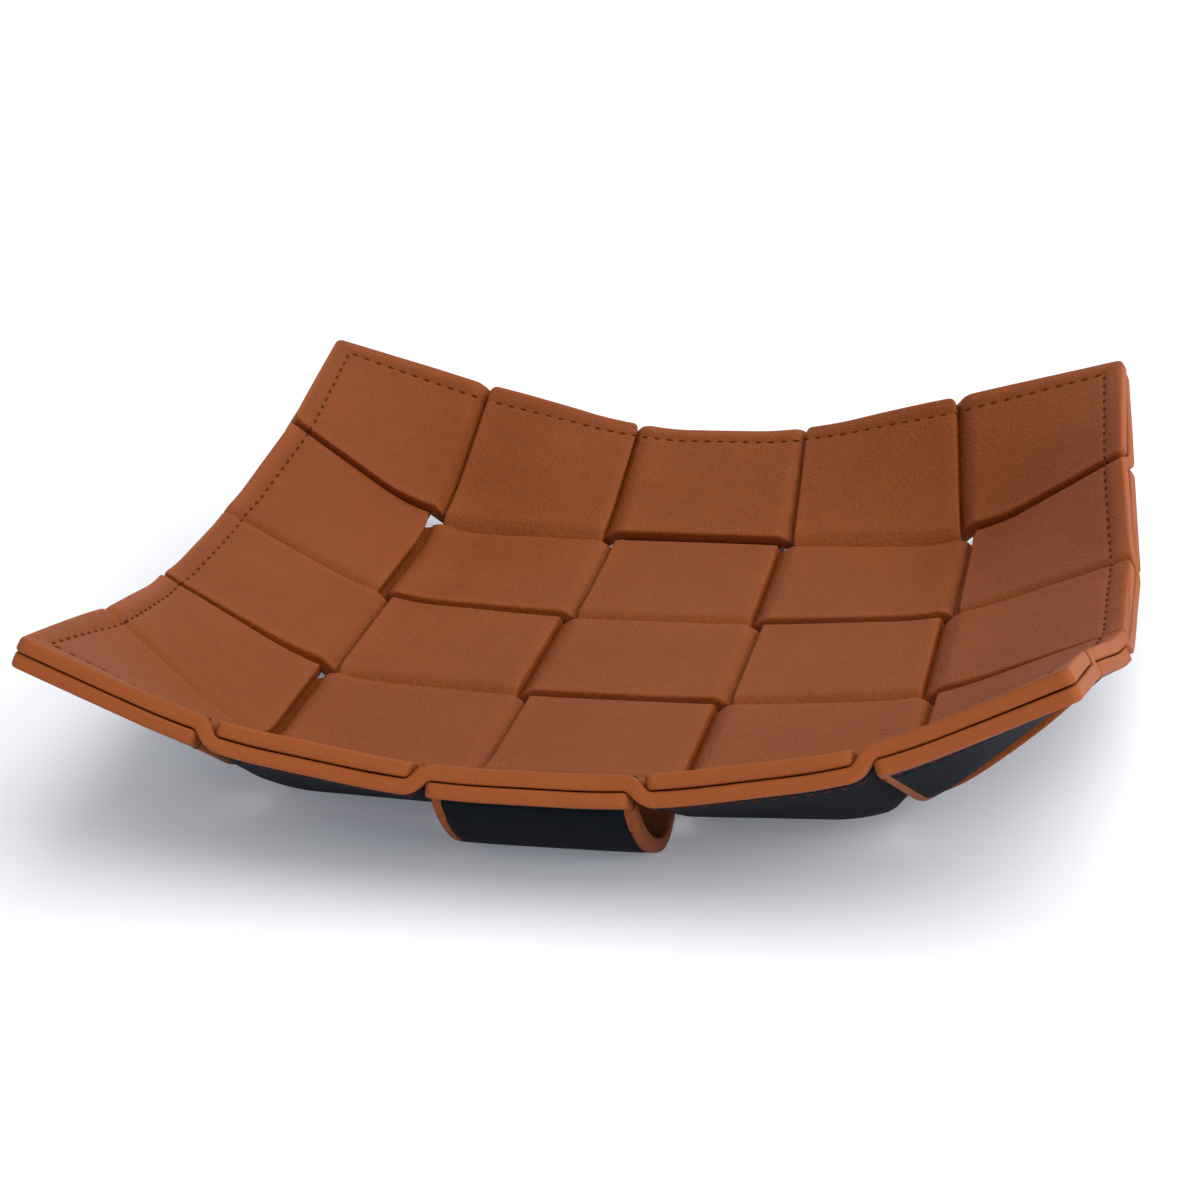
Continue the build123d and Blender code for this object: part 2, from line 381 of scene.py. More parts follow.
def lane_point(is_column, lane, cell, across, along):
    """The same for a strap's own lane: its cell, the share across it and the share along it."""
    if is_column:
        point, normal, width, length = tile_point(lane, cell, across, along)
    else:
        point, normal, length, width = tile_point(cell, lane, along, across)
    return point, normal, width, length


def width_at(cell, along):
    """A strap's width at a share along one of its cells."""
    outwards = {0: 1 - along, last: along}.get(cell, 0)
    return strap_width - (strap_width - end_width) * outwards


def edge_share(lane, high_side, pitch, width):
    """Where a strap's edge lies across its lane: at the rim outside, else centred on the lane."""
    strap_share = width / pitch
    if lane == 0:
        return strap_share if high_side else 0
    if lane == last:
        return 1 if high_side else 1 - strap_share
    return (1 + strap_share) / 2 if high_side else (1 - strap_share) / 2


def edge_point(is_column, lane, cell, high_side, place):
    """The point of a strap's edge line.

    The share along the cell is place(pitch along, width of the strap that crosses there).
    """
    across, along = (1 if high_side else 0), 0
    for _ in range(settling_passes):
        _, _, pitch, length = lane_point(is_column, lane, cell, across, along)
        crossing_width = width_at(lane, across)
        across = edge_share(lane, high_side, pitch, width_at(cell, along))
        along = place(length, crossing_width)
    point, normal, _, _ = lane_point(is_column, lane, cell, across, along)
    return point, normal


def cell_start(cell, length, width):
    """Share along a cell where the strap of that width across it ends its rounded edge."""
    return 0 if cell == 0 else edge_share(cell, False, length, width) + edge_radius / length


def cell_end(cell, length, width):
    """The same where the rounded edge on the cell's far side starts."""
    return 1 if cell == last else edge_share(cell, True, length, width) - edge_radius / length


def upright(way, normal):
    """The direction nearest the normal that is square to the way."""
    return (normal - way * normal.dot(way)).normalized()


def turn(centre, start, end, facing, levels):
    """Stations round one edge of the crossing strap: point, up and level, from start to end."""
    rail = []
    for step in range(crossing_steps + 1):
        share = step / crossing_steps
        direction = start.slerp(end, share)
        level = levels[0] * (1 - share) + levels[1] * share
        rail.append((centre + direction * crossing_radius, direction * facing, level))
    return rail


def crossing(leave, arrive, level):
    """Stations of an edge line from the face of one layer to the other, between two straps."""
    (start, start_normal), (end, end_normal) = leave, arrive
    first = start - start_normal * (level * layer_height)
    second = end + end_normal * (level * layer_height)
    ahead = (second - first).normalized()
    upward = upright(ahead, (start_normal + end_normal) * level)
    slope = math.asin(min(1, 2 * crossing_radius / (second - first).length))
    tangent = upward * math.cos(slope) + ahead * math.sin(slope)
    rail = turn(first, start_normal * level, tangent, level, (level, 0))
    return rail + turn(second, -tangent, end_normal * -level, -level, (0, -level))


def pocket(start, start_way, end, end_way, depth):
    """Stations of a slack edge line, a cubic curve that hangs by depth between two points."""
    pull = depth * pocket_pull_share
    rail = []
    for step in range(1, pocket_steps):
        s = step / pocket_steps
        point = start * (2 * s**3 - 3 * s**2 + 1) + end * (3 * s**2 - 2 * s**3)
        point += start_way * (pull * (s**3 - 2 * s**2 + s)) + end_way * (pull * (s**3 - s**2))
        way = (end - start) * (6 * s - 6 * s**2)
        way += start_way * (pull * (3 * s**2 - 4 * s + 1)) + end_way * (pull * (3 * s**2 - 2 * s))
        rail.append((point, way.normalized()))
    return rail


def slack(is_column, lane, cell):
    """How deep a strap hangs in one cell, zero where it lies against the one above."""
    if is_column and lane == middle_strap:
        return {0: front_pocket_depth, last: back_pocket_depth}.get(cell, 0)
    if not is_column and lane % 2 == 1:
        return {0: side_pocket_depth, last: side_pocket_depth}.get(cell, 0)
    return 0


def slack_rail(is_column, lane, high_side, at_start):
    """The slack part of an edge line, from the seam's land to the next strap's edge."""
    cell, beside = (0, first_inner) if at_start else (last, last - 1)

    def at(number, from_rim):
        return edge_point(is_column, lane, number, high_side, lambda *spans: from_rim(*spans)
                          if at_start else 1 - from_rim(*spans))

    rim, _ = at(cell, lambda length, width: 0)
    land, normal = at(cell, lambda length, width: seam_land / length)
    edge, edge_normal = at(beside, lambda *spans: cell_start(first_inner, *spans))
    further, _ = at(beside, lambda length, width: middle_share)
    inward = (further - edge).normalized()
    leave = (land - rim).normalized() * math.cos(pocket_start) - normal * math.sin(pocket_start)
    arrive = inward * math.cos(pocket_end) + edge_normal * math.sin(pocket_end)
    facing = edge_normal * math.cos(pocket_end) - inward * math.sin(pocket_end)
    start = land - normal * layer_height
    around = turn(edge - edge_normal * layer_height, facing, edge_normal, 1, (0, 1))
    hung = pocket(start, leave, around[0][0], arrive, slack(is_column, lane, cell))
    slack_part = [(point, upright(way, normal), 0) for point, way in hung]
    rail = [(start, normal, -1)] + slack_part + around
    return rail if at_start else rail[::-1]


def edge_rail(is_column, lane, high_side):
    """All stations of one edge line of a strap: point on its middle surface, up, and level."""
    def at(cell, place):
        return edge_point(is_column, lane, cell, high_side, place)

    def on_layer(spot, level):
        return spot[0] + spot[1] * (level * layer_height), spot[1], level

    level = -1 if is_column == (lane % 2 == 0) else 1
    rail = [on_layer(at(0, lambda length, width: end / length), level) for end in (0, end_wall)]
    for cell in range(last):
        if cell == 0 and slack(is_column, lane, 0) > 0:
            rail += slack_rail(is_column, lane, high_side, True)
        elif cell == last - 1 and slack(is_column, lane, last) > 0:
            rail += slack_rail(is_column, lane, high_side, False)
        else:
            leave = at(cell, lambda *spans: cell_end(cell, *spans))
            arrive = at(cell + 1, lambda *spans: cell_start(cell + 1, *spans))
            rail += crossing(leave, arrive, level)
        level = -level
    rail += [on_layer(at(last, lambda length, width: 1 - end / length), level)
             for end in (end_wall, 0)]
    return rail


def rounded(share):
    """Height of a rounded corner, from 0 at its foot to 1 where it runs out into the flat."""
    return (1 - (1 - min(share, 1)) ** edge_power) ** (1 / edge_power)


def end_places():
    """Distances from a strap's tip of the rings round its rounded end, closest at the tip."""
    angles = [math.pi / 2 * (step + 1) / (end_steps + 1) for step in range(end_steps + 1)]
    return [edge_radius * (1 - math.cos(angle) ** (2 / edge_power)) for angle in angles]


def places_along(stations, total):
    """Where a strap's mesh has its rings: at its stations, and evenly between them."""
    places = end_places() + [corner_radius, end_wall]
    places += [fine_step * step for step in range(1, round(fine_reach / fine_step) + 1)
               if fine_step * step > corner_radius]
    places = sorted(places)
    wanted = places + [total - place for place in places]
    fixed = sorted(wanted + [place for place in stations
                             if fine_reach < place < total - fine_reach])
    rings = [fixed[0]]
    for place in fixed[1:]:
        steps = max(1, math.ceil((place - rings[-1]) / along_step))
        start = rings[-1]
        if place - start < least_step and min(place, total - place) > end_wall:
            continue
        rings += [start + (place - start) * step / steps for step in range(1, steps + 1)]
    return rings


class Section:
    """One cross-section of a strap: its middle, its directions, and where it lies along it."""

    def __init__(self, low, high, up, level, from_tip):
        self.middle = (low + high) / 2
        self.across = (high - low).normalized()
        self.up = upright(self.across, up)
        self.half = (high - low).length / 2
        self.level, self.from_tip = level, from_tip

    def point(self, x, z):
        """The point x across the strap from its middle and z above it."""
        return self.middle + self.across * x + self.up * z


def sections_of(is_column, lane):
    """A strap's cross-sections from end to end, each between its low edge line and its high one."""
    lows, highs = edge_rail(is_column, lane, False), edge_rail(is_column, lane, True)
    middles = [(low[0] + high[0]) / 2 for low, high in zip(lows, highs)]
    stations = [0]
    for before, after in zip(middles, middles[1:]):
        stations.append(stations[-1] + (after - before).length)
    total = stations[-1]
    sections = []
    number = 0
    for place in places_along(stations, total):
        while stations[number + 1] < place and number < len(stations) - 2:
            number += 1
        run = stations[number + 1] - stations[number]
        share = (place - stations[number]) / run if run > 0 else 0
        low = lows[number][0].lerp(lows[number + 1][0], share)
        high = highs[number][0].lerp(highs[number + 1][0], share)
        up = (lows[number][1] + highs[number][1]).lerp(lows[number + 1][1] + highs[number + 1][1],
                                                      share)
        level = lows[number][2] * (1 - share) + lows[number + 1][2] * share
        sections.append(Section(low, high, up, level, min(place, total - place)))
    return sections


def shown_share(level):
    """How much of a face's relief shows, from 1 on the near layer to 0 between the two."""
    return max(0, min(1, level * face_gain - face_offset))


def seam_groove(rim):
    """How deep the groove is that the thread pulls, at a distance from the rim."""
    return groove_depth * math.exp(-((rim - seam_inset) / groove_width) ** 2)


def seam_relief(rim):
    """The border that stands up outside the seam, and the groove beside it."""
    return border_rise * math.exp(-((rim - border_middle) / border_width) ** 2) - seam_groove(rim)


class Strap:
    """One strap's sections and lane, and the relief of its leather."""

    def __init__(self, is_column, lane):
        self.name = f"{'column' if is_column else 'row'}_{lane + 1}"
        self.lane = lane
        self.sections = sections_of(is_column, lane)
        lane_step, way_step = strap_seed_steps
        self.seed = Vector((lane * lane_step, is_column * way_step, strap_seed))

    def from_rim(self, section, x):
        """Distance to the nearest rim: to the strap's tip or, on an outer strap, its outer edge."""
        distance = section.from_tip
        if self.lane == 0:
            distance = min(distance, section.half + x)
        elif self.lane == last:
            distance = min(distance, section.half - x)
        return distance

    def face_relief(self, section, x, point):
        """How far the exposed face stands out of its plane."""
        shown = shown_share(section.level)
        if shown == 0:
            return 0
        swell = noise.noise(point / swell_length + self.seed) * swell_rise
        ripple = noise.noise(point / ripple_length + self.seed) * ripple_rise
        crown = crown_rise * (1 - (x / section.half) ** 2)
        return shown * (swell + ripple + crown + seam_relief(self.from_rim(section, x)))

    def wander(self, section, side):
        """How far a long edge strays sideways from its line."""
        seed = self.seed + Vector((0, 0, side * side_seed_step))
        return noise.noise(section.middle / edge_wander_length + seed) * edge_wander


def spread(start, end):
    """Places across a hidden face, close enough together to bend with the strap."""
    return [start + (end - start) * step / hidden_steps for step in range(hidden_steps + 1)]


def across_places(half, is_outer):
    """Places across a strap's face, closer together beside the edges of an outer strap."""
    reach = fine_reach if is_outer else 0
    flat = half - edge_radius
    inner = flat - reach
    steps = max(2, round(2 * inner / across_step))
    places = [-inner + 2 * inner * step / steps for step in range(steps + 1)]
    fine = [inner + reach * step / round(fine_reach / fine_step)
            for step in range(1, round(reach / fine_step) + 1)]
    return [-place for place in reversed(fine)] + places + fine


def edge_tone_and_light(lane, side):
    """How much of the folded edge's brighter colour, partly its own tone and partly a painted
    highlight, a strap's long edge shows: all of it on the rim.
    """
    outside = (lane == 0 and side < 0) or (lane == last and side > 0)
    return 1 if outside else inner_edge_share


def skin_ring(strap, section, hollow):
    """A ring of points round the leather, and how much of each takes the edge's brighter colour,
    which is partly its own tone and partly a painted highlight.
    """
    half = section.half
    if section.from_tip < corner_radius:
        share = section.from_tip / corner_radius
        half -= corner_radius * (1 - math.sqrt(1 - (1 - share) ** 2))
    thick = edge_radius * rounded(section.from_tip / edge_radius)
    shrink = half / section.half
    outer = strap.lane in (0, last)
    # At the tip the whole brighter edge colour shows: painted light on the rim's end faces in part
    tip = 1 - min(section.from_tip / edge_radius, 1)
    ring, edges = [], []

    def add(x, z, edge, relief):
        point = section.point(x, z)
        if relief > 0:
            point += section.up * (strap.face_relief(section, x, point) * relief)
        ring.append(point)
        edges.append(max(edge, tip))

    flat = [place * shrink for place in across_places(section.half, outer)]
    bound = half - edge_radius
    for x in flat:
        # The face beside an edge takes some of the edge's brighter colour, a painted highlight in
        # part
        near = max(0, (abs(x) - (bound - edge_radius)) / edge_radius)
        tone = near * edge_tone_and_light(strap.lane, x) * beside_edge_share
        add(max(-bound, min(bound, x)), thick, tone, 1)
    for side in (1, -1):
        stray = strap.wander(section, side)
        angles = [math.pi / 2 - math.pi * step / (2 * edge_steps)
                  for step in range(1, 2 * edge_steps)]
        if side < 0:
            angles = [-angle for angle in angles]
        shown = edge_tone_and_light(strap.lane, side)
        for angle in angles:
            out = max(0, math.cos(angle)) ** (2 / edge_power)
            rise = math.copysign(abs(math.sin(angle)) ** (2 / edge_power), math.sin(angle))
            x = side * (bound + edge_radius * out + stray * out)
            # Up the rounded edge the brighter colour, partly a painted highlight, fades towards the
            # face
            tone = shown * (1 - max(0, rise - fade_start) * fade_slope)
            add(x, thick * rise, tone, max(0, rise) ** relief_power)
        if side > 0:
            recess = section.half - edge_wall
            inner = min(recess, bound)
            reach = recess if hollow else inner * inset_share
            depth = edge_radius - leather_thickness if hollow else -thick
            for x in (bound, inner):
                add(x, -thick, margin_share, 0)
            for x in spread(reach, -reach):
                add(x, depth, 0, 0)
            for x in (-inner, -bound):
                add(x, -thick, margin_share, 0)
    return ring, edges


def lining_ring(strap, section):
    """A ring of points round the lining, grooved by the seam where its underside shows."""
    half = section.half - edge_wall - glue_line
    top = lining_thickness - edge_radius
    shown = shown_share(-section.level)
    steps = round(2 * half / across_step)
    ring = [section.point(x, top) for x in spread(-half, half)]
    ring.append(section.point(half, lining_bevel - edge_radius))
    for step in range(steps + 1):
        x = (half - lining_bevel) * (1 - 2 * step / steps)
        rim = strap.from_rim(section, x)
        ring.append(section.point(x, shown * seam_groove(rim) - edge_radius))
    ring.append(section.point(-half, lining_bevel - edge_radius))
    return ring


def board_ring(section):
    """A ring of points round the board, between the leather's inside and the lining."""
    half = section.half - edge_wall - glue_line
    bottom = lining_thickness + glue_line - edge_radius
    ring = [section.point(x, bottom + board_thickness) for x in spread(-half, half)]
    return ring + [section.point(x, bottom) for x in spread(half, -half)]


def tube_faces(rings, count, start=0):
    """Quads between neighbouring rings of count points, and a face that closes each end."""
    faces = []
    for ring in range(rings - 1):
        for number in range(count):
            after = (number + 1) % count
            near, far = start + ring * count, start + (ring + 1) * count
            faces.append((near + number, near + after, far + after, far + number))
    faces.append(tuple(start + number for number in reversed(range(count))))
    faces.append(tuple(start + (rings - 1) * count + number for number in range(count)))
    return faces


def add_piece(name, points, faces, material, nodes, weights=None):
    """A smooth mesh piece of the tray, which stands for the solids named in nodes."""
    mesh = bpy.data.meshes.new(name)
    lift = Vector((0, 0, base_height))
    mesh.from_pydata([(softened(point) + lift) * metres for point in points], [], faces)
    if weights:
        # The edge weights say how much of the folded edge's brighter colour shows, which is partly
        # its own tone and partly painted light
        attribute = mesh.attributes.new("edge", "FLOAT", "POINT")
        attribute.data.foreach_set("value", weights)
    mesh.materials.append(material)
    mesh.polygons.foreach_set("use_smooth", [True] * len(mesh.polygons))
    mesh.set_sharp_from_angle(angle=math.radians(sharp_angle))
    mesh.validate()
    piece = bpy.data.objects.new(name, mesh)
    bpy.context.scene.collection.objects.link(piece)
    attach(piece, "root")
    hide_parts(*nodes)


def make_skin(strap, material):
    """The leather: rings from tip to tip, hollow below between the walls at its two ends."""
    points, weights, rings = [], [], 0
    hollow = False
    for section in strap.sections:
        inside = section.from_tip > end_wall - least_step / 2
        kinds = [hollow] if inside == hollow else [hollow, inside]
        hollow = inside
        for kind in kinds:
            ring, edges = skin_ring(strap, section, kind)
            points += ring
            weights += edges
            rings += 1
    faces = tube_faces(rings, len(points) // rings)
    add_piece(f"{strap.name}_skin", points, faces, material,
              [f"{strap.name}_leather"], weights)
    return points, faces


def hollow_sections(strap):
    """A strap's cross-sections between the walls at its two ends."""
    return [section for section in strap.sections if section.from_tip > end_wall + least_step / 2]


def make_lining(strap, material):
    """The lining, which fills the leather's recess and lies flush with its margin."""
    rings = [lining_ring(strap, section) for section in hollow_sections(strap)]
    points = [point for ring in rings for point in ring]
    faces = tube_faces(len(rings), len(rings[0]))
    add_piece(f"{strap.name}_lining_sheet", points, faces, material,
              [f"{strap.name}_lining"])
    return points, faces


def make_board(strap, material):
    """The board sealed in between the leather and the lining."""
    rings = [board_ring(section) for section in hollow_sections(strap)]
    add_piece(f"{strap.name}_stiffener", [point for ring in rings for point in ring],
              tube_faces(len(rings), len(rings[0])), material, [f"{strap.name}_board"])


def surface_of(parts):
    """One tree of all the straps' surfaces, for finding where the thread lies on them."""
    points, faces = [], []
    for part_points, part_faces in parts:
        start = len(points)
        points += part_points
        faces += [tuple(start + number for number in face) for face in part_faces]
    return BVHTree.FromPolygons(points, faces)


def seam_line(along_x, far):
    """Points and normals of the seam beside one side of the rim, at the middle of both layers."""
    rim_cell = last if far else 0

    def spot(cell, place):
        share = middle_share
        for _ in range(settling_passes):
            if along_x:
                point, normal, length, depth = tile_point(cell, rim_cell, place, share)
            else:
                point, normal, depth, length = tile_point(rim_cell, cell, share, place)
            share = 1 - seam_inset / depth if far else seam_inset / depth
        return point, normal, length

    line = []
    for cell in range(straps_each_way):
        length = spot(cell, middle_share)[2]
        start = seam_inset / length if cell == 0 else cell_start(cell, length, end_width)
        end = 1 - seam_inset / length if cell == last else cell_end(cell, length, end_width)
        line += [spot(cell, start)[:2], spot(cell, end)[:2]]
    return line


def along_line(line, place):
    """The point and the normal at a distance along a line of points."""
    for (start, start_normal), (end, end_normal) in zip(line, line[1:]):
        run = (end - start).length
        if place <= run:
            break
        place -= run
    share = min(1, place / run)
    return start.lerp(end, share), start_normal.lerp(end_normal, share).normalized()


def stitch_points(surface, line, start, end, side):
    """Ring centres of one stitch, which dips into the leather at both of its ends."""
    centres = []
    for step in range(stitch_rings + 1):
        share = step / stitch_rings
        point, normal = along_line(line, start + (end - start) * share)
        outward = normal * side
        hit = surface.ray_cast(point + outward * probe_reach, -outward, probe_reach)
        foot = hit[0] if hit[0] else point + outward * (layer_height + edge_radius)
        arch = math.sin(math.pi * share)
        centres.append((foot + outward * (stitch_rise * arch - stitch_sink * (1 - arch)), outward))
    return centres


def make_stitches(name, along_x, far, on_top, surface, material):
    """One run of stitches, on top of the rim or under it."""
    line = seam_line(along_x, far)
    total = sum((after[0] - before[0]).length for before, after in zip(line, line[1:]))
    count = round(total / stitch_pitch)
    pitch = total / count
    side = 1 if on_top else -1
    points, faces = [], []
    for number in range(count):
        start = pitch * (number + (1 - stitch_share) / 2)
        centres = stitch_points(surface, line, start, start + pitch * stitch_share, side)
        first = len(points)
        for step, (centre, outward) in enumerate(centres):
            before, after = centres[max(step - 1, 0)][0], centres[min(step + 1, stitch_rings)][0]
            way = (after - before).normalized()
            beside = way.cross(outward).normalized()
            over = beside.cross(way)
            swell = 1 - stitch_taper + stitch_taper * math.sin(math.pi * step / stitch_rings)
            unevenness = 1 + stitch_unevenness * noise.noise(centre / stitch_pitch)
            radius = stitch_radius * swell * unevenness
            for corner in range(stitch_sides):
                angle = 2 * math.pi * corner / stitch_sides
                points.append(centre + (beside * math.cos(angle) + over * math.sin(angle)) * radius)
        faces += tube_faces(stitch_rings + 1, stitch_sides, first)
    thread = "needle" if on_top else "bobbin"
    add_piece(f"{thread}_stitches_{name}", points, faces, material,
              [f"{thread}_thread_{name}"])


def node_adder(tree):
    """A way to add a node and its settings to a tree."""
    def add(kind, **settings):
        node = tree.nodes.new(kind)
        for key, value in settings.items():
            setattr(node, key, value)
        return node

    return add


def new_material(name):
    """A material, its principled shader and a way to add and to link nodes."""
    material = bpy.data.materials.new(name)
    material.use_nodes = True
    tree = material.node_tree
    return material, tree.nodes["Principled BSDF"], node_adder(tree), tree.links.new


def noise_node(add, link, source, scale, detail, roughness):
    """A noise over the source's places, whose scale counts its cells in a metre."""
    node = add("ShaderNodeTexNoise")
    node.inputs["Scale"].default_value = scale
    node.inputs["Detail"].default_value = detail
    node.inputs["Roughness"].default_value = roughness
    link(source, node.inputs["Vector"])
    return node.outputs["Fac"]


def ramp_node(add, link, source, low, high, places=ramp_places):
    """A colour that goes from low to high as the source goes from one place to the other."""
    node = add("ShaderNodeValToRGB")
    for element, place, colour in zip(node.color_ramp.elements, places, (low, high)):
        element.position = place
        element.color = (*colour, 1)
    link(source, node.inputs["Fac"])
    return node.outputs["Color"]


def math_node(add, link, operation, *values):
    """The result of an operation on numbers and on other nodes' results."""
    node = add("ShaderNodeMath", operation=operation)
    for socket, value in zip(node.inputs, values):
        if isinstance(value, (int, float)):
            socket.default_value = value
        else:
            link(value, socket)
    return node.outputs["Value"]


def mix_colours(add, link, factor, first, second, blend="MIX"):
    """Two colours, mixed or multiplied by a factor's share."""
    node = add("ShaderNodeMix", data_type="RGBA", blend_type=blend)
    for name, value in (("Factor", factor), ("A", first), ("B", second)):
        socket = next(socket for socket in node.inputs if socket.name == name and socket.enabled)
        if isinstance(value, tuple):
            socket.default_value = (*value, 1)
        elif isinstance(value, (int, float)):
            socket.default_value = value
        else:
            link(value, socket)
    return next(socket for socket in node.outputs if socket.name == "Result" and socket.enabled)


def bump_node(add, link, height, distance, strength, below=None):
    """A normal that follows a height, over the bumps below it."""
    node = add("ShaderNodeBump")
    node.inputs["Strength"].default_value = strength
    node.inputs["Distance"].default_value = distance
    link(height, node.inputs["Height"])
    if below:
        link(below, node.inputs["Normal"])
    return node.outputs["Normal"]


def grain_height(add, link, place, cells_per_metre):
    """The pebbled surface of leather: soft cells, broken up by finer noise."""
    warp = noise_node(add, link, place, cells_per_metre * grain_warp_share, 2, 0.5)
    shift = add("ShaderNodeVectorMath", operation="MULTIPLY_ADD")
    link(warp, shift.inputs[0])
    shift.inputs[1].default_value = [grain_warp * metres] * 3
    link(place, shift.inputs[2])
    cells = add("ShaderNodeTexVoronoi", feature="SMOOTH_F1")
    cells.inputs["Scale"].default_value = cells_per_metre
    link(shift.outputs["Vector"], cells.inputs["Vector"])
    fine = noise_node(add, link, place, cells_per_metre * fine_grain_share, 4, 0.6)
    return math_node(add, link, "SUBTRACT",
                     math_node(add, link, "MULTIPLY", fine, fine_grain_height),
                     cells.outputs["Distance"])


def tan_leather():
    """Smooth tan leather: fine grain, soft clouding, and along its folded edges drier, with a
    brighter colour that is partly their own tone and partly painted light.
    """
    material, shader, add, link = new_material("tan_leather_finish")
    place = add("ShaderNodeTexCoord").outputs["Object"]
    edge = add("ShaderNodeAttribute", attribute_name="edge").outputs["Fac"]
    clouds = noise_node(add, link, place, *cloud_noise)
    mottle = noise_node(add, link, place, *mottle_noise)
    base = ramp_node(add, link, clouds, face_dark, face_light, face_places)
    tone = ramp_node(add, link, mottle, mottle_dark, mottle_light)
    face = mix_colours(add, link, 1.0, base, tone, "MULTIPLY")
    # The brighter edge colour paints light on the lit rim faces, beside the edges' own tone
    edge_tone_and_light_factor = math_node(add, link, "MULTIPLY", edge, edge_colour_and_light_share)
    link(mix_colours(add, link, edge_tone_and_light_factor, face, edge_colour_and_painted_light), shader.inputs["Base Color"])
    rough = math_node(add, link, "MULTIPLY_ADD", mottle, mottle_roughness, least_roughness)
    edge_rough = math_node(add, link, "MULTIPLY", edge, edge_roughness)
    link(math_node(add, link, "ADD", rough, edge_rough), shader.inputs["Roughness"])
    shader.inputs["Specular IOR Level"].default_value = leather_specular
    edge_smooth = math_node(add, link, "MULTIPLY", edge, edge_smoothness)
    shown = math_node(add, link, "SUBTRACT", 1, edge_smooth)
    grain = math_node(add, link, "MULTIPLY", grain_height(add, link, place, grain_cells), shown)
    wrinkles = noise_node(add, link, place, *wrinkle_noise)
    wrinkles = math_node(add, link, "MULTIPLY", wrinkles, shown)
    normal = bump_node(add, link, wrinkles, *wrinkle_bump)
    link(bump_node(add, link, grain, *grain_bump, normal), shader.inputs["Normal"])
    return material


def plain_finish(name, noise, colours, roughness, specular, bump, places=ramp_places, cells=0):
    """A finish with one noise for its colour, its roughness and, without grain cells, its bump."""
    material, shader, add, link = new_material(name)
    place = add("ShaderNodeTexCoord").outputs["Object"]
    mottle = noise_node(add, link, place, *noise)
    rough, rougher = ([value] * 3 for value in roughness)
    link(ramp_node(add, link, mottle, *colours, places), shader.inputs["Base Color"])
    link(ramp_node(add, link, mottle, rough, rougher), shader.inputs["Roughness"])
    shader.inputs["Specular IOR Level"].default_value = specular
    height = grain_height(add, link, place, cells) if cells else mottle
    link(bump_node(add, link, height, *bump), shader.inputs["Normal"])
    return material


def navy_lining():
    """Fine-grained dark lining leather, almost matt."""
    return plain_finish("navy_lining_finish", noise=(60, 4, 0.5), roughness=(0.55, 0.66),
                        colours=((0.0052, 0.0066, 0.0098), (0.0076, 0.0094, 0.0138)),
                        specular=0.02, bump=(0.0001, 0.35), cells=1700)


def twisted_thread():
    """Dark waxed thread with its fine twist."""
    return plain_finish("thread_finish", noise=(2600, 3, 0.6), roughness=(0.6, 0.75),
                        colours=((0.065, 0.0155, 0.0042), (0.125, 0.031, 0.0095)),
                        specular=0.05, bump=(0.0001, 0.5), places=(0.3, 0.75))


def fibre_board():
    """Grey-buff board with its short fibres."""
    return plain_finish("board_finish", noise=(900, 6, 0.7), roughness=(0.8, 0.92),
                        colours=((0.42, 0.35, 0.26), (0.55, 0.47, 0.37)),
                        specular=0.5, bump=(0.0001, 0.4))


def seen_directly(add, link):
    """One for camera, glossy and transmission rays, and zero for the rest."""
    path = add("ShaderNodeLightPath").outputs
    seen = math_node(add, link, "MAXIMUM", path["Is Camera Ray"], path["Is Glossy Ray"])
    return math_node(add, link, "MAXIMUM", seen, path["Is Transmission Ray"])


def add_floor():
    """A pale floor that shows white, with the soft cool shadow of the tray on it."""
    mesh = bpy.data.meshes.new("floor")
    corners = [(-1, -1), (1, -1), (1, 1), (-1, 1)]
    mesh.from_pydata([Vector((x * floor_half, y * floor_half, -floor_depth)) * metres
                      for x, y in corners], [], [(0, 1, 2, 3)])
    material, shader, add, link = new_material("floor_finish")
    shader.inputs["Base Color"].default_value = (*floor_tone, 1)
    shader.inputs["Roughness"].default_value = floor_roughness
    shader.inputs["Specular IOR Level"].default_value = floor_specular
    shader.inputs["Emission Color"].default_value = (*floor_glow, 1)
    glow = math_node(add, link, "MULTIPLY", seen_directly(add, link), floor_glow_strength)
    link(glow, shader.inputs["Emission Strength"])
    mesh.materials.append(material)
    floor = bpy.data.objects.new("floor", mesh)
    bpy.context.scene.collection.objects.link(floor)


def light_world():
    """Even pale light from all round, which shows as white."""
    world = bpy.data.worlds.new("studio")
    bpy.context.scene.world = world
    world.use_nodes = True
    background = world.node_tree.nodes["Background"]
    add, link = node_adder(world.node_tree), world.node_tree.links.new
    colour = mix_colours(add, link, seen_directly(add, link), sky_tone, white)
    link(colour, background.inputs["Color"])
    background.inputs["Strength"].default_value = 1.0


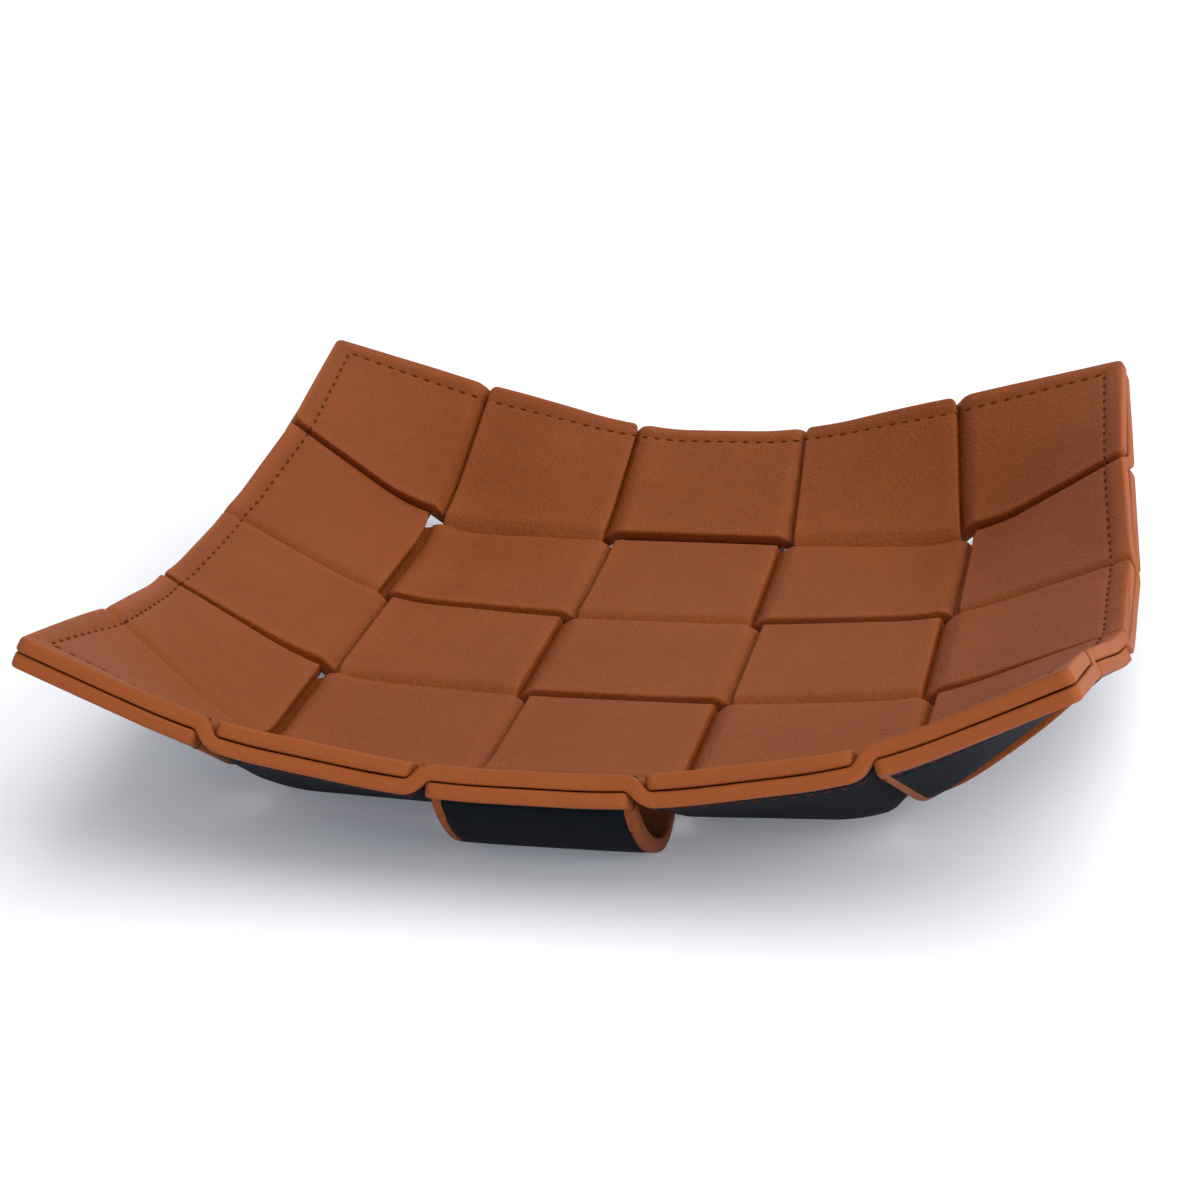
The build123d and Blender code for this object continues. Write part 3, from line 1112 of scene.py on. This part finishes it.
def add_lamp(name, place, size, power):
    """A square soft lamp that faces the tray, its place and size in metres, its power in watts."""
    light = bpy.data.lights.new(name, "AREA")
    light.size = size
    light.energy = power
    lamp = bpy.data.objects.new(name, light)
    lamp.location = place
    lamp.rotation_euler = (-Vector(place)).to_track_quat("-Z", "Y").to_euler()
    bpy.context.scene.collection.objects.link(lamp)


def add_camera():
    """The camera at the photo's place and angle."""
    azimuth, elevation = camera_azimuth, camera_elevation
    view = Vector((-math.sin(azimuth) * math.cos(elevation),
                   math.cos(azimuth) * math.cos(elevation), -math.sin(elevation)))
    level = view.cross(Vector((0, 0, 1))).normalized()
    rise = level.cross(view)
    right = level * math.cos(camera_roll) + rise * math.sin(camera_roll)
    up = rise * math.cos(camera_roll) - level * math.sin(camera_roll)
    place = -(right * camera_right + up * camera_up + view * camera_distance)
    place.z += base_height
    data = bpy.data.cameras.new("camera")
    data.sensor_width = sensor_size
    data.lens = sensor_size * lens_share
    camera = bpy.data.objects.new("camera", data)
    turned = Matrix((right, up, -view)).transposed().to_4x4()
    camera.matrix_world = Matrix.Translation(place * metres) @ turned
    bpy.context.scene.collection.objects.link(camera)
    bpy.context.scene.camera = camera


def make_straps():
    """All ten straps, and the surface that the thread lies on."""
    leather, lining, board = tan_leather(), navy_lining(), fibre_board()
    parts = []
    for is_column in (True, False):
        for lane in range(straps_each_way):
            strap = Strap(is_column, lane)
            parts.append(make_skin(strap, leather))
            parts.append(make_lining(strap, lining))
            make_board(strap, board)
    return surface_of(parts)


def make_seam(surface):
    """The four sides of the rim seam, on top and below."""
    thread = twisted_thread()
    for name, along_x, far in (("front", True, False), ("back", True, True),
                               ("left", False, False), ("right", False, True)):
        make_stitches(name, along_x, far, True, surface, thread)
        make_stitches(name, along_x, far, False, surface, thread)


make_seam(make_straps())
add_floor()
light_world()
add_lamp("key", place=(1.5, 0.4, 2.6), size=4.4, power=84)
add_lamp("fill", place=(1.45, -0.75, 0.75), size=1.0, power=9)
add_camera()
bpy.context.scene.view_settings.view_transform = "Standard"
